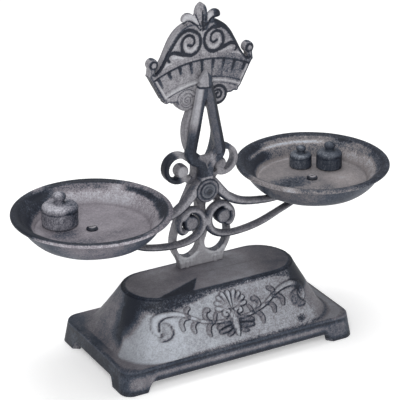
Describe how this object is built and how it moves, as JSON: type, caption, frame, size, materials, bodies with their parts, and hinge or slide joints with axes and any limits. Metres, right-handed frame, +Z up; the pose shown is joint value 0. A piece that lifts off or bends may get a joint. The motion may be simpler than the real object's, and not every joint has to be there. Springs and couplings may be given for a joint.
{
  "type": "balance scale",
  "caption": "Decorative cast-iron balance scale: scrolled post with a fan crown on a hollow base, tilting beam with a pointer, round pans and loose knobbed weights.",
  "frame": {"origin": "under the centre of the whole object, in the plane the feet stand on", "axes": "+Z up, +X along the beam towards the right-hand pan, -Y towards the front with the relief"},
  "size_m": [0.3298, 0.1292, 0.2846],
  "materials": {
    "base_iron": "distressed navy-black patina rubbed back to grey",
    "post_iron": "distressed navy-black patina rubbed back to grey",
    "beam_iron": "distressed navy-black patina rubbed back to grey",
    "pan_iron": "distressed navy-black patina rubbed back to grey",
    "weight_iron": "distressed navy-black patina rubbed back to grey",
    "fixing_steel": "dark patina"
  },
  "bodies": {
    "stand": {"base_casting": "base_iron", "post_casting": "post_iron", "post_screws": "fixing_steel", "post_screw_washers": "fixing_steel", "pivot_screw": "fixing_steel", "pivot_front_washer": "fixing_steel", "pivot_spacer": "fixing_steel", "pivot_back_washer": "fixing_steel", "pivot_nut": "fixing_steel"},
    "beam": {"beam_casting": "beam_iron", "pan_left": "pan_iron", "pan_right": "pan_iron", "pan_screws": "fixing_steel", "pan_screw_washers": "fixing_steel", "pan_screw_nuts": "fixing_steel"},
    "large_weight": {"weight_large": "weight_iron"},
    "medium_weight": {"weight_medium": "weight_iron"},
    "small_weight": {"weight_small": "weight_iron"}
  },
  "joints": [
    {"name": "beam_tilt", "type": "hinge", "parent": "stand", "child": "beam", "pos_m": [0, 0, 0.1301], "axis": [0, 1, 0], "range_deg": [-10, 10]},
    {"name": "large_weight_lift", "type": "slide", "parent": "beam", "child": "large_weight", "axis": [0, 0, 1], "range_m": [0, 0.05]},
    {"name": "medium_weight_lift", "type": "slide", "parent": "beam", "child": "medium_weight", "axis": [0, 0, 1], "range_m": [0, 0.05]},
    {"name": "small_weight_lift", "type": "slide", "parent": "beam", "child": "small_weight", "axis": [0, 0, 1], "range_m": [0, 0.05]}
  ]
}
